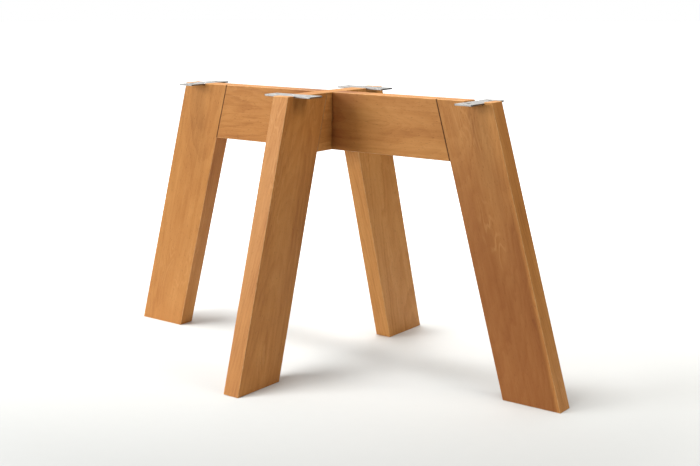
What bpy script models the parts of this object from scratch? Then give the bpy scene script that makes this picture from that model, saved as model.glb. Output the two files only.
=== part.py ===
"""Cross-plan trestle: two timber rails lapped at right angles, a splayed slab leg on each of
their four ends, and a steel strip let into each leg top to take a table or bench top.

Metres, +Z up. The long rail runs along X and the short rail along Y, the feet stand on z = 0,
and the crossing is over the origin.
"""

import math

import bmesh
import bpy
from mathutils import Matrix

# ---- Timber ---------------------------------------------------------------------------------
HEIGHT = 0.720        # floor to the timber tops
LONG_TOP = 1.000      # along the long rail, over the outer top edges of its two legs
SHORT_TOP = 0.400     # the same along the short rail
LEG_RUN = 0.200       # how far each foot stands outside its own leg top
BOARD_WIDTH = 0.150   # planed board, used for the legs and, on edge, for the rails
BOARD_THICK = 0.048
ARRIS = 0.001         # chamfer on every timber edge

# ---- Steel strips and their screws ----------------------------------------------------------
STRIP_WIDTH = 0.050   # along the rail
STRIP_LENGTH = 0.150  # across the leg, so that a tab stands out on each side
STRIP_THICK = 0.004
STRIP_CORNER = 0.003
STRIP_EDGE = 0.023    # outer top edge of the leg to the strip
STRIP_SINK = {"left": 0.0, "right": 0.003, "front": 0.0, "back": 0.0}
SLOT_WIDTH = 0.008
SLOT_LENGTH = 0.014
SLOT_END = 0.025      # end of the strip to the middle of its slot
SCREW_SPACING = 0.028
SCREW_LENGTH = 0.060
SCREW_RADIUS = 0.0025
SCREW_HEAD = 0.005
SCREW_POINT = 0.007   # length of the pointed end
DRIVE_RADIUS = 0.0018 # hexagon socket, to its corners
DRIVE_DEPTH = 0.0018

# ---- Dowels between the legs and the rails --------------------------------------------------
DOWEL_RADIUS = 0.006
DOWEL_IN_LEG = 0.045
DOWEL_IN_RAIL = 0.035
DOWEL_SPACING = 0.045
DOWEL_CHAMFER = 0.0015

# ---- Clearances -----------------------------------------------------------------------------
FIT = 0.0003          # between touching pieces, round a screw and round a dowel
HOUSING_SIDE = 0.0015 # between a strip and each wall of its housing
PAST = 0.010          # how far a cutter stands out of an open side

# ---- Worked out from the sizes above --------------------------------------------------------
SLOPE = LEG_RUN / HEIGHT
LEG_SECTION = BOARD_WIDTH * math.hypot(1, SLOPE)  # width of a leg along a level cut
RAIL_MIDDLE = HEIGHT - BOARD_WIDTH / 2
ROUND = 24            # sides of every round piece and bore
SIDES = {             # turn about Z, and the crossing to the outer top edge of the leg
    "left": (math.pi, LONG_TOP / 2),
    "right": (0.0, LONG_TOP / 2),
    "front": (-math.pi / 2, SHORT_TOP / 2),
    "back": (math.pi / 2, SHORT_TOP / 2),
}

for item in list(bpy.data.objects):
    bpy.data.objects.remove(item)

trestle = bpy.data.collections.new("cross_trestle")
cutters = bpy.data.collections.new("cutters")
for group in (trestle, cutters):
    bpy.context.scene.collection.children.link(group)
cutters.hide_render = True


def new_material(name, color, metallic, roughness):
    material = bpy.data.materials.new(name)
    material.use_nodes = True
    shader = material.node_tree.nodes["Principled BSDF"]
    shader.inputs["Base Color"].default_value = (*color, 1)
    shader.inputs["Metallic"].default_value = metallic
    shader.inputs["Roughness"].default_value = roughness
    return material


oiled_timber = new_material("oiled_timber", (0.50, 0.22, 0.08), 0, 0.45)
dowel_beech = new_material("dowel_beech", (0.62, 0.42, 0.24), 0, 0.60)
strip_steel = new_material("strip_steel", (0.56, 0.57, 0.58), 1, 0.35)
screw_steel = new_material("screw_steel", (0.40, 0.40, 0.42), 1, 0.30)


def add_object(name, bm, material=None):
    """A closed body as a piece of the trestle or, with no material, as a cutter."""
    bmesh.ops.recalc_face_normals(bm, faces=bm.faces)
    mesh = bpy.data.meshes.new(name)
    bm.to_mesh(mesh)
    bm.free()
    obj = bpy.data.objects.new(name, mesh)
    (trestle if material else cutters).objects.link(obj)
    if material:
        mesh.materials.append(material)
    else:
        obj.hide_render = True
        obj.display_type = "WIRE"
    return obj


def add_block(bm, low, high, place=Matrix()):
    size = [b - a for a, b in zip(low, high)]
    middle = [(a + b) / 2 for a, b in zip(low, high)]
    box = place @ Matrix.Translation(middle) @ Matrix.Diagonal((*size, 1))
    bmesh.ops.create_cube(bm, size=1, matrix=box)


def turned(profile, sides=ROUND):
    """A round body about Z, from (radius, z) points that start and end on the axis."""
    bm = bmesh.new()
    verts = [bm.verts.new((radius, 0, z)) for radius, z in profile]
    edges = [bm.edges.new(pair) for pair in zip(verts, verts[1:])]
    bmesh.ops.spin(bm, geom=verts + edges, axis=(0, 0, 1), cent=(0, 0, 0),
                   angle=2 * math.pi, steps=sides)
    bmesh.ops.remove_doubles(bm, verts=bm.verts, dist=0.00001)
    bmesh.ops.recalc_face_normals(bm, faces=bm.faces)
    return bm


def repeat(shape, places):
    """One bmesh that holds a copy of the shape at each place."""
    mesh = bpy.data.meshes.new("shape")
    shape.to_mesh(mesh)
    shape.free()
    bm = bmesh.new()
    for place in places:
        copy = mesh.copy()
        copy.transform(place)
        bm.from_mesh(copy)
        bpy.data.meshes.remove(copy)
    bpy.data.meshes.remove(mesh)
    return bm


def cut(obj, *shapes):
    for shape in shapes:
        modifier = obj.modifiers.new(shape.name, "BOOLEAN")
        modifier.operation = "DIFFERENCE"
        modifier.solver = "EXACT"
        modifier.object = shape


def take_off_edges(obj):
    modifier = obj.modifiers.new("arris", "BEVEL")
    modifier.width = ARRIS
    modifier.segments = 1
    modifier.limit_method = "NONE"


# ---- Where things go ------------------------------------------------------------------------
# Each leg has its own frame: +X outward along its rail, +Z up, and the origin below the crossing.
turns = {side: Matrix.Rotation(turn, 4, "Z") for side, (turn, _) in SIDES.items()}

strip_places, screw_places, dowel_places = {}, {}, {}
for side, (_, outer) in SIDES.items():
    top = HEIGHT - STRIP_SINK[side]
    strip_places[side] = turns[side] @ Matrix.Translation(
        (outer - STRIP_EDGE - STRIP_WIDTH / 2, 0, top))
    for number in range(4):
        along = (number // 2 - 0.5) * SCREW_SPACING
        across = (number % 2 - 0.5) * SCREW_SPACING
        screw_places[f"{side}_{number + 1}"] = (
            strip_places[side] @ Matrix.Translation((along, across, 0)))
    for number, step in enumerate((1, 0, -1)):
        z = RAIL_MIDDLE + step * DOWEL_SPACING
        joint = outer - LEG_SECTION + SLOPE * (HEIGHT - z)
        dowel_places[f"{side}_{number + 1}"] = (
            turns[side] @ Matrix.Translation((joint, 0, z)) @ Matrix.Rotation(math.pi / 2, 4, "Y"))

# ---- Cutters --------------------------------------------------------------------------------
housing = bmesh.new()
add_block(housing,
          (-STRIP_WIDTH / 2 - HOUSING_SIDE, -BOARD_THICK / 2 - PAST, -STRIP_THICK - FIT),
          (STRIP_WIDTH / 2 + HOUSING_SIDE, BOARD_THICK / 2 + PAST, PAST))
strip_housings = add_object("strip_housings", repeat(housing, strip_places.values()))

slot = bmesh.new()
for end in (-1, 1):
    ring = bmesh.ops.create_cone(slot, cap_ends=True, segments=ROUND, radius1=SLOT_WIDTH / 2,
                                 radius2=SLOT_WIDTH / 2, depth=2 * (STRIP_THICK + PAST),
                                 matrix=Matrix.Rotation(math.pi / ROUND, 4, "Z"))["verts"]
    for vert in ring:
        vert.co.y += math.copysign((SLOT_LENGTH - SLOT_WIDTH) / 2, vert.co.y)
    bmesh.ops.translate(slot, vec=(0, end * (STRIP_LENGTH / 2 - SLOT_END), 0), verts=ring)
strip_slots = add_object("strip_slots", repeat(slot, strip_places.values()))

bore = SCREW_RADIUS + FIT
screw_bores = add_object("screw_bores", repeat(turned([
    (0, PAST), (SCREW_HEAD + FIT, PAST), (SCREW_HEAD + FIT, 0),
    (bore, SCREW_RADIUS - SCREW_HEAD), (bore, -SCREW_LENGTH - FIT), (0, -SCREW_LENGTH - FIT),
]), screw_places.values()))

socket = bmesh.new()
bmesh.ops.create_cone(socket, cap_ends=True, segments=6, radius1=DRIVE_RADIUS,
                      radius2=DRIVE_RADIUS, depth=2 * DRIVE_DEPTH)
drive_sockets = add_object("drive_sockets", repeat(socket, screw_places.values()))

dowel_bores = add_object("dowel_bores", repeat(turned([
    (0, -DOWEL_IN_RAIL - FIT), (DOWEL_RADIUS + FIT, -DOWEL_IN_RAIL - FIT),
    (DOWEL_RADIUS + FIT, DOWEL_IN_LEG + FIT), (0, DOWEL_IN_LEG + FIT),
]), dowel_places.values()))

lap = {}
for name, low, high in (("lap_upper", FIT / 2, BOARD_WIDTH / 2 + PAST),
                        ("lap_lower", -BOARD_WIDTH / 2 - PAST, FIT / 2)):
    bm = bmesh.new()
    reach = BOARD_THICK / 2
    wide, deep = (reach + FIT, reach + PAST) if name == "lap_upper" else (reach + PAST, reach + FIT)
    add_block(bm, (-wide, -deep, RAIL_MIDDLE + low - FIT), (wide, deep, RAIL_MIDDLE + high))
    lap[name] = add_object(name, bm)

# ---- Legs: slabs with level ends, leaning outward in the plane of their rail -------------------
for side, (_, outer) in SIDES.items():
    bm = bmesh.new()
    add_block(bm, (-LEG_SECTION / 2, -BOARD_THICK / 2, -HEIGHT), (LEG_SECTION / 2, BOARD_THICK / 2, 0))
    lean = Matrix.Translation((outer - LEG_SECTION / 2, 0, HEIGHT))
    lean[0][2] = -SLOPE
    bmesh.ops.transform(bm, matrix=turns[side] @ lean, verts=bm.verts)
    leg = add_object(f"leg_{side}", bm, oiled_timber)
    take_off_edges(leg)
    cut(leg, strip_housings, screw_bores, dowel_bores)

# ---- Rails: boards on edge, with ends cut to the lean of the legs ------------------------------
for name, sides, notch in (("long_rail", ("left", "right"), "lap_upper"),
                           ("short_rail", ("front", "back"), "lap_lower")):
    outer = SIDES[sides[0]][1]
    bm = bmesh.new()
    add_block(bm, (-1, -BOARD_THICK / 2, HEIGHT - BOARD_WIDTH), (1, BOARD_THICK / 2, HEIGHT))
    for vert in bm.verts:
        end = outer - LEG_SECTION + SLOPE * (HEIGHT - vert.co.z) - FIT
        vert.co.x = math.copysign(end, vert.co.x)
    bmesh.ops.transform(bm, matrix=turns[sides[1]], verts=bm.verts)
    rail = add_object(name, bm, oiled_timber)
    take_off_edges(rail)
    cut(rail, lap[notch], dowel_bores)

# ---- Dowels ---------------------------------------------------------------------------------
for key, place in dowel_places.items():
    near, far = -DOWEL_IN_RAIL, DOWEL_IN_LEG
    tip = DOWEL_RADIUS - DOWEL_CHAMFER
    dowel = repeat(turned([
        (0, near), (tip, near), (DOWEL_RADIUS, near + DOWEL_CHAMFER),
        (DOWEL_RADIUS, far - DOWEL_CHAMFER), (tip, far), (0, far),
    ]), [place])
    add_object(f"dowel_{key}", dowel, dowel_beech)

# ---- Steel strips and the screws that hold them to the legs ------------------------------------
for side, place in strip_places.items():
    bm = bmesh.new()
    add_block(bm, (-STRIP_WIDTH / 2, -STRIP_LENGTH / 2, -STRIP_THICK),
              (STRIP_WIDTH / 2, STRIP_LENGTH / 2, 0), place)
    corners = [e for e in bm.edges if abs(e.verts[0].co.z - e.verts[1].co.z) > STRIP_THICK / 2]
    bmesh.ops.bevel(bm, geom=corners, offset=STRIP_CORNER, segments=4, profile=0.5,
                    affect="EDGES")
    strip = add_object(f"top_strip_{side}", bm, strip_steel)
    cut(strip, strip_slots, screw_bores)

for key, place in screw_places.items():
    screw = repeat(turned([
        (0, 0), (SCREW_HEAD, 0), (SCREW_RADIUS, SCREW_RADIUS - SCREW_HEAD),
        (SCREW_RADIUS, SCREW_POINT - SCREW_LENGTH), (0, -SCREW_LENGTH),
    ]), [place])
    cut(add_object(f"screw_{key}", screw, screw_steel), drive_sockets)
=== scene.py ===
"""Cross-plan table trestle in oiled timber, with steel strips let into its leg tops."""

import math

import bmesh
import bpy
from mathutils import Matrix, Vector


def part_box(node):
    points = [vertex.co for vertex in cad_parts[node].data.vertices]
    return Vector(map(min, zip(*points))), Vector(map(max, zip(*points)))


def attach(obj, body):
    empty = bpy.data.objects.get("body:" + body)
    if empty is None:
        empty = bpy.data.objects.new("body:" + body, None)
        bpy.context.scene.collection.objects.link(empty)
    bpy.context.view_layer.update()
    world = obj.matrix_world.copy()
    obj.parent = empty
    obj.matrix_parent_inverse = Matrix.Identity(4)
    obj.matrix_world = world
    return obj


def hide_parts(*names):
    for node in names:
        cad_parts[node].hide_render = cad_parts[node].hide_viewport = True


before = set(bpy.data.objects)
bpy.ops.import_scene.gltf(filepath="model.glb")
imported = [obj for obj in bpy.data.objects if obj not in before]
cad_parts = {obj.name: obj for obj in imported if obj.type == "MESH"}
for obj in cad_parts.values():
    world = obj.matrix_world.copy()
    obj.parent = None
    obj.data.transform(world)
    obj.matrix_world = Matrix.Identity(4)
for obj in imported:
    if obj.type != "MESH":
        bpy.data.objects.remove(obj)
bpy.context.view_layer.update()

for startup in ("Cube", "Light", "Camera"):
    if startup in bpy.data.objects:
        bpy.data.objects.remove(bpy.data.objects[startup])

# ---- Legs -----------------------------------------------------------------------------------
# Four slabs of planed 48 x 150 mm board that lean outward from the rails, cut level at the top
# and at the foot. Each is housed across its top for a steel strip, drilled for the screws and
# for the dowels of its rail, eased on every edge, and finished with oil.

BOARD_WIDTH = 0.150
BOARD_THICK = 0.048
HEIGHT = 0.720
LEG_RUN = 0.200
SLOPE = LEG_RUN / HEIGHT
LEAN = math.atan(SLOPE)
LEG_SECTION = BOARD_WIDTH * math.hypot(1, SLOPE)
LEG_TURNS = {"left": math.pi, "right": 0.0, "front": -math.pi / 2, "back": math.pi / 2}
LEG_TOPS = {"left": 0.500, "right": 0.500, "front": 0.200, "back": 0.200}
EASED = 0.0015
FIT = 0.0003
CUT_CLEAR = 0.010
HOUSING_SIDE = 0.0015
SCREW_SPACING = 0.028
SCREW_SPOTS = [((number // 2 - 0.5) * SCREW_SPACING, (number % 2 - 0.5) * SCREW_SPACING)
               for number in range(4)]
SCREW_LENGTH = 0.060
SCREW_BORE = 0.0028
DOWEL_BORE = 0.0063
DOWEL_SPACING = 0.045
DOWEL_IN_LEG = 0.045
DOWEL_IN_RAIL = 0.035
RAIL_MIDDLE = HEIGHT - BOARD_WIDTH / 2

turns = {side: Matrix.Rotation(turn, 4, "Z") for side, turn in LEG_TURNS.items()}
strip_boxes = {side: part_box(f"top_strip_{side}") for side in LEG_TURNS}


def put(tree, socket, value):
    """Links a socket to an input, or sets a plain value on it."""
    if isinstance(value, bpy.types.NodeSocket):
        tree.links.new(value, socket)
    else:
        socket.default_value = value


def add(tree, kind, inputs=None, **settings):
    """A node with its settings, and its inputs by name or place, each a value or a socket."""
    node = tree.nodes.new(kind)
    for name, value in settings.items():
        setattr(node, name, value)
    for name, value in (inputs or {}).items():
        put(tree, node.inputs[name], value)
    return node


def work(tree, operation, *values, clamp=False):
    node = add(tree, "ShaderNodeMath", operation=operation, use_clamp=clamp)
    for socket, value in zip(node.inputs, values):
        put(tree, socket, value)
    return node.outputs[0]


def work_vector(tree, operation, *values):
    """A vector, or the number that a dot product or a length gives."""
    node = add(tree, "ShaderNodeVectorMath", operation=operation)
    for socket, value in zip(node.inputs, values):
        put(tree, socket, value)
    return node.outputs["Value" if operation in ("DOT_PRODUCT", "LENGTH") else "Vector"]


def step_up(tree, value, low, high, bottom=0.0, top=1.0):
    """Value mapped smoothly from low..high to bottom..top."""
    node = add(tree, "ShaderNodeMapRange", interpolation_type="SMOOTHSTEP")
    for name, number in (("Value", value), ("From Min", low), ("From Max", high),
                         ("To Min", bottom), ("To Max", top)):
        put(tree, node.inputs[name], number)
    return node.outputs["Result"]


def noise(tree, place, stretch, detail=2.0, roughness=0.5):
    """A noise texture whose pattern is packed closer by stretch along each axis."""
    return add(tree, "ShaderNodeTexNoise", {
        "Vector": work_vector(tree, "MULTIPLY", place, stretch), "Scale": 1.0,
        "Detail": detail, "Roughness": roughness})


def blend(tree, share, under, over, blend_type="MIX"):
    """One colour over another, by a share from 0 to 1."""
    return add(tree, "ShaderNodeMix", {0: share, 6: under, 7: over},
               data_type="RGBA", blend_type=blend_type).outputs[2]


def relief(tree, height, strength, distance):
    return add(tree, "ShaderNodeBump", {
        "Height": height, "Strength": strength, "Distance": distance}).outputs[0]


def new_finish(name):
    """A material, its node tree, and the shader that all its nodes feed."""
    material = bpy.data.materials.new(name)
    material.use_nodes = True
    return material, material.node_tree, material.node_tree.nodes["Principled BSDF"]


def new_group(name, inputs, outputs):
    """A shader node group with named sockets. Returns it, its input node and its output node."""
    tree = bpy.data.node_groups.new(name, "ShaderNodeTree")
    for label, kind, value in inputs:
        socket = tree.interface.new_socket(label, in_out="INPUT", socket_type=kind)
        if value is not None:
            socket.default_value = value
    for label, kind in outputs:
        tree.interface.new_socket(label, in_out="OUTPUT", socket_type=kind)
    return tree, tree.nodes.new("NodeGroupInput").outputs, tree.nodes.new("NodeGroupOutput").inputs


def sawn_grain():
    """Growth rings round a heart line beside the board, which every face cuts in its own way,
    with fibres, short dark flecks, slow clouds of tone and thin pale curls, in the board's own
    directions. A swirl is where the rings bend round a branch."""
    tree, given, made = new_group("sawn_grain", [
        ("Board Place", "NodeSocketVector", None), ("Seed", "NodeSocketFloat", 0.0),
        ("Heart Across", "NodeSocketFloat", 0.0), ("Heart Through", "NodeSocketFloat", 0.08),
        ("Drift Across", "NodeSocketFloat", 0.0), ("Drift Through", "NodeSocketFloat", 0.04),
        ("Ring Width", "NodeSocketFloat", 0.006), ("Wander", "NodeSocketFloat", 0.02),
        ("Swirl Across", "NodeSocketFloat", 0.0), ("Swirl Along", "NodeSocketFloat", 0.0),
        ("Swirl Width", "NodeSocketFloat", 0.03), ("Swirl Length", "NodeSocketFloat", 0.08),
        ("Swirl Rise", "NodeSocketFloat", 0.0),
    ], [("Rings", "NodeSocketFloat"), ("Fibres", "NodeSocketFloat"),
        ("Flecks", "NodeSocketFloat"), ("Clouds", "NodeSocketFloat"),
        ("Swirl", "NodeSocketFloat"), ("Curls", "NodeSocketFloat")])
    place = given["Board Place"]
    apart = add(tree, "ShaderNodeSeparateXYZ", {0: place}).outputs
    seed = add(tree, "ShaderNodeCombineXYZ", {
        axis: work(tree, "MULTIPLY", given["Seed"], step)
        for axis, step in enumerate((1.7, 3.1, 0.9))}).outputs[0]
    here = work_vector(tree, "ADD", place, seed)
    broad = noise(tree, here, (8, 8, 2.6), 1.5).outputs["Color"]
    small = noise(tree, here, (46, 46, 15), 3.0, 0.6).outputs["Color"]
    broad, small = (work_vector(tree, "SUBTRACT", way, (0.5, 0.5, 0.5)) for way in (broad, small))
    bend = work_vector(tree, "ADD", broad,
                       work_vector(tree, "MULTIPLY", small, (0.30, 0.30, 0.30)))
    wander = add(tree, "ShaderNodeCombineXYZ", {
        axis: given["Wander"] for axis in range(3)}).outputs[0]
    bent = add(tree, "ShaderNodeSeparateXYZ", {
        0: work_vector(tree, "MULTIPLY", bend, wander)}).outputs
    sides = []
    for axis, heart, drift in ((0, "Heart Across", "Drift Across"),
                               (1, "Heart Through", "Drift Through")):
        line = work(tree, "MULTIPLY_ADD", given[drift], apart[2], given[heart])
        side = work(tree, "ADD", work(tree, "SUBTRACT", apart[axis], line), bent[axis])
        sides.append(work(tree, "MULTIPLY", side, side))
    radius = work(tree, "SQRT", work(tree, "ADD", *sides))
    off = []
    for axis, centre, reach in ((0, "Swirl Across", "Swirl Width"),
                                (2, "Swirl Along", "Swirl Length")):
        away = work(tree, "DIVIDE", work(tree, "SUBTRACT", apart[axis], given[centre]),
                    given[reach])
        off.append(work(tree, "MULTIPLY", away, away))
    swirl = work(tree, "EXPONENT", work(tree, "MULTIPLY", work(tree, "ADD", *off), -1.0))
    radius = work(tree, "MULTIPLY_ADD", given["Swirl Rise"], swirl, radius)
    count = work(tree, "DIVIDE", radius, given["Ring Width"])
    share = work(tree, "FRACT", count)
    strength = add(tree, "ShaderNodeTexWhiteNoise", {
        "W": work(tree, "ADD", work(tree, "FLOOR", count), given["Seed"])},
        noise_dimensions="1D").outputs["Value"]
    late = work(tree, "MULTIPLY", step_up(tree, share, 0.15, 0.85),
                step_up(tree, share, 0.85, 1.0, 1.0, 0.0))
    put(tree, made["Rings"], work(tree, "MULTIPLY", late,
                                  step_up(tree, strength, 0, 1, 0.35, 1.0)))
    fine = noise(tree, here, (520, 520, 11), 3.0, 0.6).outputs["Fac"]
    coarse = noise(tree, here, (95, 95, 2.4), 2.0).outputs["Fac"]
    put(tree, made["Fibres"], work(tree, "ADD", work(tree, "MULTIPLY", fine, 0.45),
                                   work(tree, "MULTIPLY", coarse, 0.55)))
    put(tree, made["Flecks"], step_up(tree, noise(
        tree, here, (760, 760, 95), 1.0).outputs["Fac"], 0.64, 0.74))
    slow = noise(tree, here, (16, 16, 2.2), 3.0, 0.55).outputs["Fac"]
    blotch = noise(tree, here, (34, 34, 13), 2.0).outputs["Fac"]
    put(tree, made["Clouds"], work(tree, "ADD", work(tree, "MULTIPLY", slow, 0.68),
                                   work(tree, "MULTIPLY", blotch, 0.32)))
    put(tree, made["Swirl"], swirl)
    ripple = noise(tree, here, (26, 26, 6.5), 1.2).outputs["Fac"]
    ripple = work(tree, "FRACT", work(tree, "MULTIPLY", ripple, 11))
    ridge = work(tree, "ABSOLUTE", work(tree, "SUBTRACT", ripple, 0.5))
    spots = noise(tree, here, (11, 11, 4.5), 1.0).outputs["Fac"]
    put(tree, made["Curls"], work(tree, "MULTIPLY", step_up(tree, ridge, 0.26, 0.48),
                                  step_up(tree, spots, 0.54, 0.68)))
    return tree


def edge_wear():
    """Where an edge is handled and its oil wears thin, and where it is painted lighter as a
    highlight
    along the arris: the second nearest of three distances to faces is the distance to the nearest
    edge, and a fine noise breaks the line up."""
    tree, given, made = new_group("edge_wear", [
        ("Place", "NodeSocketVector", None), ("Across", "NodeSocketFloat", 0.0),
        ("Through", "NodeSocketFloat", 0.0), ("Along", "NodeSocketFloat", 0.0),
        ("Reach", "NodeSocketFloat", 0.003)], [("Wear", "NodeSocketFloat")])
    one, two, three = (given[name] for name in ("Across", "Through", "Along"))
    nearest = work(tree, "MAXIMUM", work(tree, "MINIMUM", one, two),
                   work(tree, "MINIMUM", work(tree, "MAXIMUM", one, two), three))
    broken = noise(tree, given["Place"], (90, 90, 90), 3.0, 0.6).outputs["Fac"]
    share = work(tree, "ADD", work(tree, "DIVIDE", nearest, given["Reach"]),
                 work(tree, "MULTIPLY", broken, 0.9))
    put(tree, made["Wear"], step_up(tree, share, 0.55, 1.25, 1.0, 0.0))
    return tree


grain_group = sawn_grain()
wear_and_highlight_group = edge_wear()

TIMBER_TONES = [(0.00, (0.590, 0.278, 0.080)), (0.35, (0.495, 0.210, 0.053)),
                (0.70, (0.365, 0.135, 0.031)), (1.00, (0.200, 0.062, 0.014))]
DARK_WOOD_AND_SHADE_TONE = (0.49, 0.34, 0.30, 1)
CURL_TONE = (0.700, 0.370, 0.130, 1)
FLECK_TONE = (0.160, 0.052, 0.014, 1)
# Worn oil on the edges, and a painted highlight along them.
WORN_AND_HIGHLIGHT_TONE = (0.780, 0.500, 0.240, 1)
# Glue line and painted shade in the joint between a leg and its rail.
GLUE_AND_SHADE_TONE = (0.090, 0.030, 0.009, 1)

# How deep into the tones the plain wood, its fibres and its clouds go, how strongly each other
# tone lies over them, and how far from an edge the oil wears thin and the edge is painted lighter
# as a highlight.
PLAIN_DEPTH, FIBRE_DEPTH, CLOUD_DEPTH = 0.20, 0.75, 1.15
CURL_SHARE, FLECK_SHARE, WORN_AND_HIGHLIGHT_SHARE = 0.24, 0.42, 0.55
WEAR_AND_HIGHLIGHT_REACH = 0.0022
OIL_SHEEN = 0.19

# The glue line, with painted shade in the joint, darkens the wood over this distance from a joint,
# more on the long side. A dark part of a board, darker wood on some boards and painted shade on
# the long rail by the crossing, fades out between these distances from its middle line, toward the
# outer edge.
GLUE_AND_SHADE_LINE = (0.0006, 0.0024)
GLUE_AND_SHADE_DARK = {"long_rail": 0.9, "left": 0.9, "right": 0.9,
              "short_rail": 0.3, "front": 0.3, "back": 0.3}
DARK_WOOD_AND_SHADE_FADE = (0.062, 0.0745)


def leg_meeting_edge(tree, where, apart, end):
    """How far a point of a leg is from the edge that meets its rail, large below the rail."""
    height = add(tree, "ShaderNodeSeparateXYZ", {0: where}).outputs[2]
    rail_bottom = HEIGHT - BOARD_WIDTH
    below = step_up(tree, height, rail_bottom - 0.001, rail_bottom + 0.001, 1, 0)
    return work(tree, "ADD", work(tree, "ADD", apart[0], BOARD_WIDTH / 2), below)


def rail_meeting_edge(tree, where, apart, end):
    """A rail meets its legs with its two ends."""
    return end


def oiled_timber(name, centre, turn, half_length, end_lean, end_taper, meeting_edge, glue_and_shade_dark,
                 seed, heart, drift, ring, wander, tone, figure,
                 swirl=(0.0, 0.0, 0.030, 0.08, 0.0, 0.0), dark_wood_and_shade=(0.0, 0.05, 0.0)):
    """The oiled finish of one board: across is X, through is Y and along is Z of its own frame.
    A swirl is its place across and along, its width and length, its rise and its tone. The dark
    part, darker wood on some boards and painted shade on the long rail by the crossing, is where
    along the board it lies, how far it reaches and how strong it is."""
    material, tree, shader = new_finish(name)
    shader.inputs["Specular IOR Level"].default_value = OIL_SHEEN
    where = add(tree, "ShaderNodeTexCoord").outputs["Object"]
    mapping = add(tree, "ShaderNodeMapping", {"Vector": where}, vector_type="TEXTURE")
    mapping.inputs["Location"].default_value = centre
    mapping.inputs["Rotation"].default_value = turn
    place = mapping.outputs[0]
    apart = add(tree, "ShaderNodeSeparateXYZ", {0: place}).outputs
    rings, fibres, flecks, clouds, knot, curls = add(tree, "ShaderNodeGroup", {
        "Board Place": place, "Seed": seed, "Heart Across": heart[0], "Heart Through": heart[1],
        "Drift Across": drift[0], "Drift Through": drift[1], "Ring Width": ring,
        "Wander": wander, "Swirl Across": swirl[0], "Swirl Along": swirl[1],
        "Swirl Width": swirl[2], "Swirl Length": swirl[3], "Swirl Rise": swirl[4]},
        node_tree=grain_group).outputs
    end = work(tree, "SUBTRACT", work(tree, "MULTIPLY_ADD", apart[0], end_taper, half_length),
               work(tree, "ABSOLUTE", work(tree, "MULTIPLY_ADD", apart[0], end_lean, apart[2])))
    # Edge wear and a painted highlight: the edges are painted lighter, as if they caught the
    # light.
    wear_and_highlight = add(tree, "ShaderNodeGroup", {
        "Place": where,
        "Across": work(tree, "SUBTRACT", BOARD_WIDTH / 2, work(tree, "ABSOLUTE", apart[0])),
        "Through": work(tree, "SUBTRACT", BOARD_THICK / 2, work(tree, "ABSOLUTE", apart[1])),
        "Along": end, "Reach": WEAR_AND_HIGHLIGHT_REACH}, node_tree=wear_and_highlight_group).outputs[0]

    depth = work(tree, "MULTIPLY_ADD", rings, figure, PLAIN_DEPTH + tone)
    for pattern, weight in ((fibres, FIBRE_DEPTH), (clouds, CLOUD_DEPTH)):
        depth = work(tree, "MULTIPLY_ADD", work(tree, "SUBTRACT", pattern, 0.5), weight, depth)
    depth = work(tree, "MULTIPLY_ADD", knot, swirl[5], depth, clamp=True)
    tones = add(tree, "ShaderNodeValToRGB", {"Fac": depth})
    ramp = tones.color_ramp.elements
    while len(ramp) < len(TIMBER_TONES):
        ramp.new(0.5)
    for stop, (position, color) in zip(ramp, TIMBER_TONES):
        stop.position = position
        stop.color = (*color, 1)

    # A darker patch along the board: darker wood on some boards, painted shade by the crossing on
    # the long rail.
    along, reach, strength = dark_wood_and_shade
    sway = noise(tree, place, (14, 14, 2), 2.0).outputs["Fac"]
    off = work(tree, "DIVIDE", work(tree, "ADD", work(tree, "SUBTRACT", apart[2], along),
                                    work(tree, "MULTIPLY_ADD", sway, reach, -reach / 2)), reach)
    near = work(tree, "EXPONENT", work(
        tree, "MULTIPLY", work(tree, "POWER", work(tree, "ABSOLUTE", off), 4.0), -1.0))
    near = work(tree, "MULTIPLY", near, step_up(tree, apart[0], *DARK_WOOD_AND_SHADE_FADE, 1.0, 0.0))
    # Glue line and painted shade: the wood is darkened close to where a leg meets its rail.
    joint = step_up(tree, meeting_edge(tree, where, apart, end), *GLUE_AND_SHADE_LINE, 1.0, 0.0)
    color = blend(tree, work(tree, "MULTIPLY", near, strength), tones.outputs["Color"],
                  DARK_WOOD_AND_SHADE_TONE, "MULTIPLY")
    for mask, share, over in ((curls, CURL_SHARE, CURL_TONE), (flecks, FLECK_SHARE, FLECK_TONE),
                              (wear_and_highlight, WORN_AND_HIGHLIGHT_SHARE, WORN_AND_HIGHLIGHT_TONE), (joint, glue_and_shade_dark, GLUE_AND_SHADE_TONE)):
        color = blend(tree, work(tree, "MULTIPLY", mask, share), color, over)
    put(tree, shader.inputs["Base Color"], color)

    polish = work(tree, "MULTIPLY_ADD", fibres, 0.22, 0.36)
    polish = work(tree, "MULTIPLY_ADD", flecks, 0.12, polish)
    put(tree, shader.inputs["Roughness"], work(tree, "MULTIPLY_ADD", wear_and_highlight, -0.06, polish))
    height = work(tree, "SUBTRACT", work(tree, "MULTIPLY_ADD", rings, -0.30, fibres),
                  work(tree, "MULTIPLY", flecks, 0.6))
    put(tree, shader.inputs["Normal"], relief(tree, height, strength=0.35, distance=0.00035))
    return material


def board(name, profile, place):
    """A board cut to a profile in its own X and Z, with every outside edge eased."""
    bm = bmesh.new()
    near = [bm.verts.new((x, -BOARD_THICK / 2, z)) for x, z in profile]
    far = [bm.verts.new((x, BOARD_THICK / 2, z)) for x, z in profile]
    bm.faces.new(near)
    bm.faces.new(reversed(far))
    for index in range(len(profile)):
        after = (index + 1) % len(profile)
        bm.faces.new((near[index], far[index], far[after], near[after]))
    bmesh.ops.recalc_face_normals(bm, faces=bm.faces)
    outside = [edge for edge in bm.edges if edge.is_convex]
    bmesh.ops.bevel(bm, geom=outside, offset=EASED, segments=4, profile=0.5, affect="EDGES")
    bm.transform(place)
    return as_object(name, bm)


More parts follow.
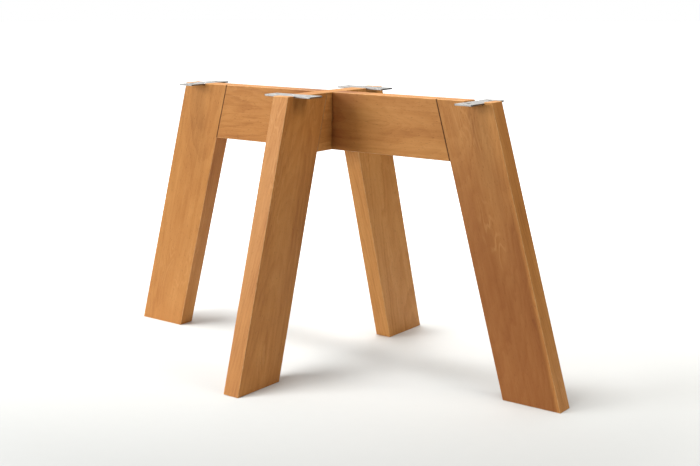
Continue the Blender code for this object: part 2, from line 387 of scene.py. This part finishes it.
def as_object(name, bm):
    bmesh.ops.recalc_face_normals(bm, faces=bm.faces)
    mesh = bpy.data.meshes.new(name)
    bm.to_mesh(mesh)
    bm.free()
    piece = bpy.data.objects.new(name, mesh)
    bpy.context.scene.collection.objects.link(piece)
    return piece


def rod(bm, radius, start, end, place, sides=24):
    """Adds a round bar along Z of its place, from start to end."""
    middle = Matrix.Translation((0, 0, (start + end) / 2))
    bmesh.ops.create_cone(bm, cap_ends=True, segments=sides, radius1=radius, radius2=radius,
                          depth=end - start, matrix=place @ middle)


def make_plain(piece):
    """Applies the modifiers, so that the piece is a plain mesh."""
    graph = bpy.context.evaluated_depsgraph_get()
    mesh = bpy.data.meshes.new_from_object(piece.evaluated_get(graph), depsgraph=graph)
    piece.modifiers.clear()
    old, piece.data = piece.data, mesh
    bpy.data.meshes.remove(old)
    mesh.name = piece.name


def take_away(piece, *cutters):
    """Cuts each cutter out of the piece in turn, and leaves the piece with no material."""
    for cutter in cutters:
        modifier = piece.modifiers.new(cutter.name, "BOOLEAN")
        modifier.operation = "DIFFERENCE"
        modifier.solver = "EXACT"
        modifier.object = cutter
    make_plain(piece)
    for cutter in cutters:
        bpy.data.objects.remove(cutter)
    piece.data.materials.clear()


def dowel_places(side):
    """Where the dowels cross the joint between a leg and its rail, with Z along each dowel."""
    for step in (1, 0, -1):
        z = RAIL_MIDDLE + step * DOWEL_SPACING
        joint = LEG_TOPS[side] - LEG_SECTION + SLOPE * (HEIGHT - z)
        yield (turns[side] @ Matrix.Translation((joint, 0, z))
               @ Matrix.Rotation(math.pi / 2, 4, "Y"))


def dowel_bores(*sides):
    """A cutter for the dowel holes at the joints on these sides."""
    bores = bmesh.new()
    for side in sides:
        for place in dowel_places(side):
            rod(bores, DOWEL_BORE, -DOWEL_IN_RAIL - FIT, DOWEL_IN_LEG + FIT, place)
    return as_object("dowel_bores", bores)


LEG_GRAIN = {
    "left": dict(seed=3.0, heart=(-0.030, -0.150), drift=(0.030, 0.050), ring=0.0075,
                 wander=0.030, tone=0.04, figure=0.16,
                 swirl=(0.02, 0.10, 0.030, 0.10, 0.010, 0.0), dark_wood_and_shade=(-0.32, 0.36, 0.12)),
    "right": dict(seed=11.0, heart=(-0.050, 0.170), drift=(0.060, -0.080), ring=0.0065,
                  wander=0.040, tone=0.02, figure=0.17,
                  # the right leg is painted much darker over the lower middle of its board
                  swirl=(0.058, -0.17, 0.009, 0.05, 0.020, 0.12), dark_wood_and_shade=(-0.24, 0.47, 0.75)),
    "front": dict(seed=23.0, heart=(0.010, 0.110), drift=(-0.030, 0.110), ring=0.0080,
                  wander=0.030, tone=0.12, figure=0.14),
    "back": dict(seed=37.0, heart=(0.060, 0.140), drift=(0.020, 0.060), ring=0.0070,
                 wander=0.035, tone=-0.14, figure=0.26,
                 swirl=(0.00, 0.05, 0.020, 0.10, 0.008, 0.0), dark_wood_and_shade=(0.00, 0.60, 0.06)),
}

for side, outer in LEG_TOPS.items():
    low, high = strip_boxes[side]
    middle = (low + high) / 2
    strip_middle = middle.to_2d().length
    strip_half = min(high.x - low.x, high.y - low.y) / 2
    wall = strip_half + HOUSING_SIDE
    floor_z = low.z - FIT
    inner = outer - LEG_SECTION
    leg = board(f"leg_board_{side}", [
        (inner + LEG_RUN, 0), (outer + LEG_RUN, 0), (outer, HEIGHT),
        (strip_middle + wall, HEIGHT), (strip_middle + wall, floor_z),
        (strip_middle - wall, floor_z), (strip_middle - wall, HEIGHT), (inner, HEIGHT),
    ], turns[side])
    screw_bores = bmesh.new()
    for along, across in SCREW_SPOTS:
        rod(screw_bores, SCREW_BORE, high.z - SCREW_LENGTH - FIT, HEIGHT + CUT_CLEAR,
            turns[side] @ Matrix.Translation((strip_middle + along, across, 0)))
    take_away(leg, as_object("screw_bores", screw_bores), dowel_bores(side))

    centre = turns[side] @ Vector((outer - LEG_SECTION / 2 + LEG_RUN / 2, 0, HEIGHT / 2))
    leg.data.materials.append(oiled_timber(
        f"oiled_leg_{side}", centre, (0, -LEAN, LEG_TURNS[side]), HEIGHT / 2 / math.cos(LEAN),
        SLOPE, 0.0, leg_meeting_edge, GLUE_AND_SHADE_DARK[side], **LEG_GRAIN[side]))
    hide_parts(f"leg_{side}")
    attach(leg, "root")

# ---- Rails ----------------------------------------------------------------------------------
# Two boards on edge, from the same planed stock as the legs, halved over each other where they
# cross so that all four edges stay flush. Their ends are cut to the lean of the legs, butted
# against them and doweled, and they carry the same oil.

RAIL_GRAIN = {
    "long_rail": dict(seed=5.0, heart=(-0.010, 0.085), drift=(0.030, 0.090), ring=0.0075,
                      wander=0.045, tone=0.10, figure=0.17,
                      swirl=(-0.005, 0.195, 0.016, 0.060, -0.022, 0.0),
                      # painted shade: the long rail is darkened around the crossing, where the
                      # short rail and front leg shade it
                      dark_wood_and_shade=(0.0, 0.10, 0.66)),
    "short_rail": dict(seed=17.0, heart=(0.030, 0.120), drift=(0.020, 0.030), ring=0.0070,
                       wander=0.030, tone=0.06, figure=0.26),
}
RAIL_SIDES = {"long_rail": ("left", "right"), "short_rail": ("front", "back")}
lap_half = BOARD_THICK / 2 + FIT
bottom = HEIGHT - BOARD_WIDTH

for name, sides in RAIL_SIDES.items():
    far_side = sides[1]
    ends = {z: LEG_TOPS[far_side] - LEG_SECTION + SLOPE * (HEIGHT - z) - FIT
            for z in (bottom, HEIGHT)}
    if name == "long_rail":
        lap_z = RAIL_MIDDLE - FIT / 2
        profile = [(-ends[bottom], bottom), (ends[bottom], bottom), (ends[HEIGHT], HEIGHT),
                   (lap_half, HEIGHT), (lap_half, lap_z), (-lap_half, lap_z), (-lap_half, HEIGHT),
                   (-ends[HEIGHT], HEIGHT)]
    else:
        lap_z = RAIL_MIDDLE + FIT / 2
        profile = [(-ends[bottom], bottom), (-lap_half, bottom), (-lap_half, lap_z),
                   (lap_half, lap_z), (lap_half, bottom), (ends[bottom], bottom),
                   (ends[HEIGHT], HEIGHT), (-ends[HEIGHT], HEIGHT)]
    rail = board(f"{name}_board", profile, turns[far_side])
    take_away(rail, dowel_bores(*sides))
    rail.data.materials.append(oiled_timber(
        f"oiled_{name}", (0, 0, RAIL_MIDDLE), (0, math.pi / 2, LEG_TURNS[far_side]),
        (ends[bottom] + ends[HEIGHT]) / 2, 0.0, SLOPE, rail_meeting_edge, GLUE_AND_SHADE_DARK[name],
        **RAIL_GRAIN[name]))
    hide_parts(name)
    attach(rail, "root")

# ---- Dowels ---------------------------------------------------------------------------------
# Three 12 mm beech dowels, machine turned and chamfered, are glued across each joint between a
# leg and its rail. They are hidden once the joint is closed, and stay unfinished.

BEECH_TONES = (0.62, 0.42, 0.25, 1), (0.40, 0.24, 0.12, 1)

dowel_beech, tree, shader = new_finish("raw_beech")
place = add(tree, "ShaderNodeTexCoord").outputs["Object"]
fine = noise(tree, place, (380, 380, 380), 3.0, 0.6).outputs["Fac"]
slow = noise(tree, place, (40, 40, 40), 2.0).outputs["Fac"]
put(tree, shader.inputs["Base Color"], blend(
    tree, work(tree, "MULTIPLY", work(tree, "ADD", fine, slow), 0.5), *BEECH_TONES))
put(tree, shader.inputs["Roughness"], work(tree, "MULTIPLY_ADD", fine, 0.2, 0.55))
put(tree, shader.inputs["Normal"], relief(tree, fine, strength=0.3, distance=0.0003))
for name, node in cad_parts.items():
    if name.startswith("dowel_"):
        for material_slot in node.material_slots:
            material_slot.material = dowel_beech

# ---- Steel strips ---------------------------------------------------------------------------
# A 4 mm length of 50 mm flat bar lies across each leg top, let in flush, and stands out as a
# tab on each side with a slot for the screw up into the table top. It is countersunk for four
# screws and belt-finished on its flats, and its cropped edges are painted darker, for their own
# finish and as painted shade.

STRIP_THICK = 0.004
STRIP_CORNER = 0.003
STRIP_ARRIS = 0.0004
SLOT_WIDTH = 0.008
SLOT_LENGTH = 0.014
SLOT_END = 0.025
SINK_RADIUS = 0.0053
SINK_CLEAR = 0.002
MARKS_ACROSS, MARKS_ALONG, MARKS_DOWN = 1420, 40, 900
STEEL_TONES = (0.54, 0.532, 0.51, 1), (0.70, 0.69, 0.66, 1)
CROPPED_AND_SHADE_TONE = (0.30, 0.295, 0.285, 1)


def belt_marks():
    """Fine parallel scratches from a finishing belt, along X or along Y, with a few deeper ones
    and soft stains."""
    tree, given, made = new_group("belt_marks", [
        ("Place", "NodeSocketVector", None), ("Along X", "NodeSocketFloat", 1.0)],
        [("Marks", "NodeSocketFloat"), ("Deep Marks", "NodeSocketFloat"),
         ("Stains", "NodeSocketFloat")])
    apart = add(tree, "ShaderNodeSeparateXYZ", {0: given["Place"]}).outputs
    in_y = work(tree, "MULTIPLY_ADD", given["Along X"], MARKS_ACROSS - MARKS_ALONG, MARKS_ALONG)
    in_x = work(tree, "SUBTRACT", MARKS_ACROSS + MARKS_ALONG, in_y)
    packed = add(tree, "ShaderNodeCombineXYZ", {
        axis: work(tree, "MULTIPLY", apart[axis], packing)
        for axis, packing in enumerate((in_x, in_y, MARKS_DOWN))}).outputs[0]
    marks = noise(tree, packed, (1, 1, 1), 3.0, 0.65).outputs["Fac"]
    elsewhere = work_vector(tree, "ADD", packed, (7, 3, 5))
    deep = noise(tree, elsewhere, (0.4, 0.4, 0.4), 1.0).outputs["Fac"]
    put(tree, made["Marks"], marks)
    put(tree, made["Deep Marks"], step_up(tree, deep, 0.62, 0.78))
    put(tree, made["Stains"], noise(tree, given["Place"], (55, 55, 55), 3.0, 0.6).outputs["Fac"])
    return tree


marks_group = belt_marks()


def satin_steel(name, along_x):
    """Satin steel with its belt marks along X or Y, painted darker where the bar's edges face
    sideways: partly their cropped finish, partly painted shade.
    """
    material, tree, shader = new_finish(name)
    shader.inputs["Metallic"].default_value = 1.0
    place = add(tree, "ShaderNodeTexCoord").outputs["Object"]
    marks, deep, stains = add(tree, "ShaderNodeGroup", {
        "Place": place, "Along X": along_x}, node_tree=marks_group).outputs
    mottle = work(tree, "ADD", work(tree, "MULTIPLY", marks, 0.5),
                  work(tree, "MULTIPLY", stains, 0.5))
    flat = blend(tree, step_up(tree, mottle, 0.35, 0.65), *STEEL_TONES)
    rise = add(tree, "ShaderNodeSeparateXYZ", {
        0: add(tree, "ShaderNodeNewGeometry").outputs["Normal"]}).outputs[2]
    # Painted shade on the sideways-facing edges, together with the darker finish of the cropped
    # edges.
    cropped_and_shaded_edges = step_up(tree, work(tree, "ABSOLUTE", rise), 0.25, 0.75, 1.0, 0.0)
    put(tree, shader.inputs["Base Color"], blend(tree, cropped_and_shaded_edges, flat, CROPPED_AND_SHADE_TONE))
    rough = work(tree, "MULTIPLY_ADD", marks, 0.16, 0.24)
    put(tree, shader.inputs["Roughness"], work(tree, "MULTIPLY_ADD", stains, 0.16, rough))
    height = work(tree, "MULTIPLY_ADD", deep, -0.8, marks)
    put(tree, shader.inputs["Normal"], relief(tree, height, strength=0.18, distance=0.0001))
    return material


crossing_x = satin_steel("satin_steel_crossing_x", 0.0)
crossing_y = satin_steel("satin_steel_crossing_y", 1.0)

for side, (low, high) in strip_boxes.items():
    middle = ((low + high) / 2).to_2d().length
    place = turns[side] @ Matrix.Translation((middle, 0, high.z))
    half_width = min(high.x - low.x, high.y - low.y) / 2
    half_length = max(high.x - low.x, high.y - low.y) / 2
    bm = bmesh.new()
    bmesh.ops.create_cube(bm, size=1, matrix=Matrix.Translation((0, 0, -STRIP_THICK / 2))
                          @ Matrix.Diagonal((2 * half_width, 2 * half_length, STRIP_THICK, 1)))
    upright = [edge for edge in bm.edges
               if abs(edge.verts[0].co.z - edge.verts[1].co.z) > STRIP_THICK / 2]
    bmesh.ops.bevel(bm, geom=upright, offset=STRIP_CORNER, segments=6, profile=0.5, affect="EDGES")
    rims = [edge for edge in bm.edges
            if abs(edge.verts[0].co.z - edge.verts[1].co.z) < STRIP_ARRIS / 10
            and len(edge.link_faces) == 2 and edge.calc_face_angle(0) > 1]
    bmesh.ops.bevel(bm, geom=rims, offset=STRIP_ARRIS, segments=2, profile=0.5, affect="EDGES")
    bm.transform(place)
    strip = as_object(f"steel_strip_{side}", bm)

    slots = bmesh.new()
    for end in (-1, 1):
        ring = bmesh.ops.create_cone(
            slots, cap_ends=True, segments=32, radius1=SLOT_WIDTH / 2, radius2=SLOT_WIDTH / 2,
            depth=2 * CUT_CLEAR, matrix=Matrix.Rotation(math.pi / 32, 4, "Z"))["verts"]
        for vert in ring:
            vert.co.y += math.copysign((SLOT_LENGTH - SLOT_WIDTH) / 2, vert.co.y)
            vert.co.y += end * (half_length - SLOT_END)
    slots.transform(place)
    sinks, bores = bmesh.new(), bmesh.new()
    sink_depth = SINK_RADIUS - SCREW_BORE
    for along, across in SCREW_SPOTS:
        spot = place @ Matrix.Translation((along, across, 0))
        bmesh.ops.create_cone(
            sinks, cap_ends=True, segments=32, radius1=SCREW_BORE,
            radius2=SINK_RADIUS + SINK_CLEAR, depth=sink_depth + SINK_CLEAR,
            matrix=spot @ Matrix.Translation((0, 0, (SINK_CLEAR - sink_depth) / 2)))
        rod(bores, SCREW_BORE, -CUT_CLEAR, 0.0, spot, 32)
    take_away(strip, as_object("slots", slots), as_object("sinks", sinks),
              as_object("bores", bores))
    strip.data.materials.append(crossing_x if side in ("front", "back") else crossing_y)
    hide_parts(f"top_strip_{side}")
    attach(strip, "root")

# ---- Screws ---------------------------------------------------------------------------------
# Four 5 x 60 mm countersunk timber screws with hexagon sockets hold each strip, in a square
# 28 mm apart, driven flush through it into the leg. They are rolled steel, zinc plated, and
# stop at whatever angle they bite.

SCREW_RADIUS = 0.0025
SCREW_ROOT = 0.0017
SCREW_HEAD = 0.005
SCREW_PITCH = 0.0024
SCREW_POINT = 0.007
SCREW_AROUND = 24
THREAD_ROWS = 5
SCREW_NECK = -0.0045
NECK_SWELL = 0.0003
HEAD_RIM = 0.0001
HEAD_BELOW = 0.00005
DRIVE_FLAT = 0.0018 * math.cos(math.pi / 6)
DRIVE_DEPTH = 0.0018
DRIVE_RIM = 0.00015
DRIVE_CONE = 0.0006
DRIVEN_SEED = 4
ZINC_TONES = (0.46, 0.46, 0.47, 1), (0.64, 0.64, 0.63, 1)


def screw_shape():
    """One screw with its head at the origin, as a single closed skin of rings."""
    bm = bmesh.new()
    rings = []

    def ring(z, reach):
        """A ring of points at a height, as far out as reach gives for each angle."""
        rings.append([bm.verts.new((reach(a) * math.cos(a), reach(a) * math.sin(a), z))
                      for a in (2 * math.pi * n / SCREW_AROUND for n in range(SCREW_AROUND))])

    rows = int((SCREW_LENGTH + SCREW_NECK) / SCREW_PITCH * THREAD_ROWS)
    for row in range(1, rows):
        z = -SCREW_LENGTH + row * SCREW_PITCH / THREAD_ROWS
        point = min(1.0, (z + SCREW_LENGTH) / SCREW_POINT)

        def thread(angle):
            share = (z / SCREW_PITCH - angle / (2 * math.pi)) % 1
            ridge = max(0.0, 1 - abs(share - 0.5) * 4)
            return point * (SCREW_ROOT + (SCREW_RADIUS - SCREW_ROOT) * ridge)

        ring(z, thread)
    under = SCREW_RADIUS - SCREW_HEAD
    for z, radius in ((SCREW_NECK, SCREW_ROOT + NECK_SWELL), (under, SCREW_RADIUS),
                      (-2 * HEAD_RIM, SCREW_HEAD), (-HEAD_RIM, SCREW_HEAD),
                      (0, SCREW_HEAD - HEAD_RIM)):
        ring(z, lambda angle, radius=radius: radius)

    def hexagon(angle):
        return DRIVE_FLAT / math.cos(angle % (math.pi / 3) - math.pi / 6)

    ring(0, lambda angle: hexagon(angle) + DRIVE_RIM)
    ring(-DRIVE_RIM, hexagon)
    ring(-DRIVE_DEPTH, hexagon)
    for lower, upper in zip(rings, rings[1:]):
        for n in range(SCREW_AROUND):
            after = (n + 1) % SCREW_AROUND
            bm.faces.new((lower[n], lower[after], upper[after], upper[n]))
    for end, z in ((rings[0], -SCREW_LENGTH), (rings[-1], -DRIVE_DEPTH - DRIVE_CONE)):
        tip = bm.verts.new((0, 0, z))
        for n in range(SCREW_AROUND):
            bm.faces.new((end[n], end[(n + 1) % SCREW_AROUND], tip))
    return as_object("screw", bm)


def screw_squares():
    """Geometry Nodes: four screws in a square at every point, each turned at random."""
    tree = bpy.data.node_groups.new("screw_squares", "GeometryNodeTree")
    for label, kind in (("Strip Middles", "NodeSocketGeometry"), ("Screw", "NodeSocketObject"),
                        ("Spacing", "NodeSocketFloat"), ("Seed", "NodeSocketInt"),
                        ("Finish", "NodeSocketMaterial")):
        tree.interface.new_socket(label, in_out="INPUT", socket_type=kind)
    tree.interface.new_socket("Screws", in_out="OUTPUT", socket_type="NodeSocketGeometry")
    given = tree.nodes.new("NodeGroupInput").outputs
    square = add(tree, "GeometryNodeMeshGrid", {
        "Size X": given["Spacing"], "Size Y": given["Spacing"], "Vertices X": 2, "Vertices Y": 2})
    squares = add(tree, "GeometryNodeInstanceOnPoints", {
        "Points": given["Strip Middles"], "Instance": square.outputs["Mesh"]})
    spots = add(tree, "GeometryNodeRealizeInstances", {0: squares.outputs[0]})
    angle = add(tree, "FunctionNodeRandomValue", data_type="FLOAT_VECTOR")
    angle.inputs[0].default_value = (0, 0, 0)
    angle.inputs[1].default_value = (0, 0, math.pi / 3)
    put(tree, angle.inputs["Seed"], given["Seed"])
    source = add(tree, "GeometryNodeObjectInfo", {"Object": given["Screw"]})
    screws = add(tree, "GeometryNodeInstanceOnPoints", {
        "Points": spots.outputs[0], "Instance": source.outputs["Geometry"],
        "Rotation": angle.outputs[0]})
    solid = add(tree, "GeometryNodeRealizeInstances", {0: screws.outputs[0]})
    finished = add(tree, "GeometryNodeSetMaterial", {
        "Geometry": solid.outputs[0], "Material": given["Finish"]})
    put(tree, tree.nodes.new("NodeGroupOutput").inputs[0], finished.outputs[0])
    return tree


screw_finish, tree, shader = new_finish("zinc_plated_screw")
shader.inputs["Metallic"].default_value = 1.0
place = add(tree, "ShaderNodeTexCoord").outputs["Object"]
mottle = noise(tree, place, (900, 900, 900), 2.0).outputs["Fac"]
bloom = noise(tree, place, (160, 160, 160), 2.0).outputs["Fac"]
cloudy = work(tree, "MULTIPLY", work(tree, "ADD", mottle, bloom), 0.5)
put(tree, shader.inputs["Base Color"], blend(
    tree, step_up(tree, cloudy, 0.38, 0.62), *ZINC_TONES))
put(tree, shader.inputs["Roughness"], work(tree, "MULTIPLY_ADD", mottle, 0.22, 0.22))
put(tree, shader.inputs["Normal"], relief(tree, mottle, strength=0.2, distance=0.0001))

one_screw = screw_shape()
middles = bmesh.new()
for low, high in strip_boxes.values():
    middles.verts.new(((low.x + high.x) / 2, (low.y + high.y) / 2, high.z - HEAD_BELOW))
screws = as_object("strip_screws", middles)
squares = screws.modifiers.new("squares", "NODES")
squares.node_group = screw_squares()
sockets = {item.name: item.identifier for item in squares.node_group.interface.items_tree
           if item.in_out == "INPUT"}
squares[sockets["Screw"]] = one_screw
squares[sockets["Spacing"]] = SCREW_SPACING
squares[sockets["Seed"]] = DRIVEN_SEED
squares[sockets["Finish"]] = screw_finish
make_plain(screws)
bpy.data.objects.remove(one_screw)
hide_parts(*(f"screw_{side}_{number}" for side in LEG_TOPS for number in range(1, 5)))
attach(screws, "root")

# ---- Floor, light and camera ----------------------------------------------------------------
# A sheet of pale studio paper, painted darker in front and paler behind as painted shade, that
# glows white far out and behind where the camera sees it, as painted light, under a soft box
# overhead, a larger one on the left and a weak warm one on the right. The room is bright behind
# and dim in front.

FLOOR_RADIUS = 30
FLOOR_BACKWARD = (-0.6, 0.8, 0)
FLOOR_NEAR_TO_FAR = (-1.2, 1.0)
FLOOR_WHITE_OUT, FLOOR_WHITE_BACK, BACK_WHITE = (0.85, 2.3), (0.0, 2.4), 0.6
FLOOR_BOUNCE_OUT, FAR_BOUNCE = (1.0, 3.0), 0.08
FLOOR_SHADE_TONES = (0.447, 0.457, 0.450, 1), (0.874, 0.888, 0.870, 1)
ROOM_BRIGHT_WAY = (-0.80, 0.35, 0.45)
ROOM_DIM, ROOM_BRIGHT = 0.03, 0.74
CAMERA_PLACE = (1.934, -2.488, 0.995)
CAMERA_TURN = math.radians(36.92)
CAMERA_DOWN = math.radians(8.74)
CAMERA_LENS = 62.1
CAMERA_SHIFT = -0.09

bm = bmesh.new()
bmesh.ops.create_circle(bm, cap_ends=True, segments=96, radius=FLOOR_RADIUS)
floor = as_object("floor", bm)
if floor.data.polygons[0].normal.z < 0:
    floor.data.flip_normals()
paint, tree, shader = new_finish("floor_paint")
shader.inputs["Roughness"].default_value = 0.9
shader.inputs["Specular IOR Level"].default_value = 0.1
place = add(tree, "ShaderNodeTexCoord").outputs["Object"]
away = work_vector(tree, "DOT_PRODUCT", place, FLOOR_BACKWARD)
speckle = noise(tree, place, (30, 30, 30), 3.0).outputs["Fac"]
# Painted shade: the floor's colour darkens toward the front and pales toward the back.
painted_floor_shade = blend(tree, step_up(tree, work(tree, "MULTIPLY_ADD", speckle, 0.05, away),
                            *FLOOR_NEAR_TO_FAR), *FLOOR_SHADE_TONES)
seen = add(tree, "ShaderNodeLightPath").outputs["Is Camera Ray"]
reach = work_vector(tree, "LENGTH", place)
lit = work(tree, "MAXIMUM", seen, step_up(tree, reach, *FLOOR_BOUNCE_OUT, 1.0, FAR_BOUNCE))
put(tree, shader.inputs["Base Color"], blend(tree, lit, (0, 0, 0, 1), painted_floor_shade))
shader.inputs["Emission Color"].default_value = (1, 1, 1, 1)
# Painted light: the floor glows white far out and behind, for the camera only.
painted_floor_glow = work(tree, "MAXIMUM", step_up(tree, away, *FLOOR_WHITE_BACK, 0.0, BACK_WHITE),
             step_up(tree, reach, *FLOOR_WHITE_OUT))
put(tree, shader.inputs["Emission Strength"], work(tree, "MULTIPLY", seen, painted_floor_glow))
floor.data.materials.append(paint)


def soft_box(name, place, aim, size, power, color=(1, 1, 1)):
    light = bpy.data.lights.new(name, "AREA")
    light.shape = "RECTANGLE"
    light.size, light.size_y = size
    light.energy = power
    light.color = color
    lamp = bpy.data.objects.new(name, light)
    lamp.location = place
    lamp.rotation_euler = (Vector(aim) - Vector(place)).to_track_quat("-Z", "Y").to_euler()
    bpy.context.scene.collection.objects.link(lamp)


soft_box("overhead_box", place=(-0.33, -0.40, 3.6), aim=(0, 0, 0), size=(0.9, 0.9), power=110)
soft_box("left_box", place=(-2.5, -3.7, 1.7), aim=(0, 0, 0.4), size=(2.2, 2.0), power=145)
soft_box("right_box", place=(2.1, 0.2, 2.2), aim=(0.2, 0, 0.3), size=(1.4, 1.4), power=30,
         color=(1, 0.93, 0.86))

world = bpy.data.worlds.new("studio")
bpy.context.scene.world = world
world.use_nodes = True
tree = world.node_tree
tree.nodes.clear()
sky = add(tree, "ShaderNodeTexCoord").outputs["Generated"]
behind = work_vector(tree, "DOT_PRODUCT", sky, ROOM_BRIGHT_WAY)
glow = step_up(tree, behind, -0.2, 0.85, ROOM_DIM, ROOM_BRIGHT)
seen = add(tree, "ShaderNodeLightPath").outputs["Is Camera Ray"]
strength = add(tree, "ShaderNodeMix", {0: seen, 2: glow, 3: 1.0}, data_type="FLOAT")
backdrop = add(tree, "ShaderNodeBackground", {
    "Color": (1, 1, 1, 1), "Strength": strength.outputs[0]})
put(tree, add(tree, "ShaderNodeOutputWorld").inputs["Surface"], backdrop.outputs[0])

lens = bpy.data.cameras.new("camera")
lens.sensor_width = 36
lens.lens = CAMERA_LENS
lens.shift_y = CAMERA_SHIFT
lens.clip_start, lens.clip_end = 0.05, 100
camera = bpy.data.objects.new("camera", lens)
camera.location = CAMERA_PLACE
camera.rotation_euler = (math.pi / 2 - CAMERA_DOWN, 0, CAMERA_TURN)
bpy.context.scene.collection.objects.link(camera)
bpy.context.scene.camera = camera
bpy.context.scene.view_settings.view_transform = "Standard"
bpy.context.scene.view_settings.look = "None"
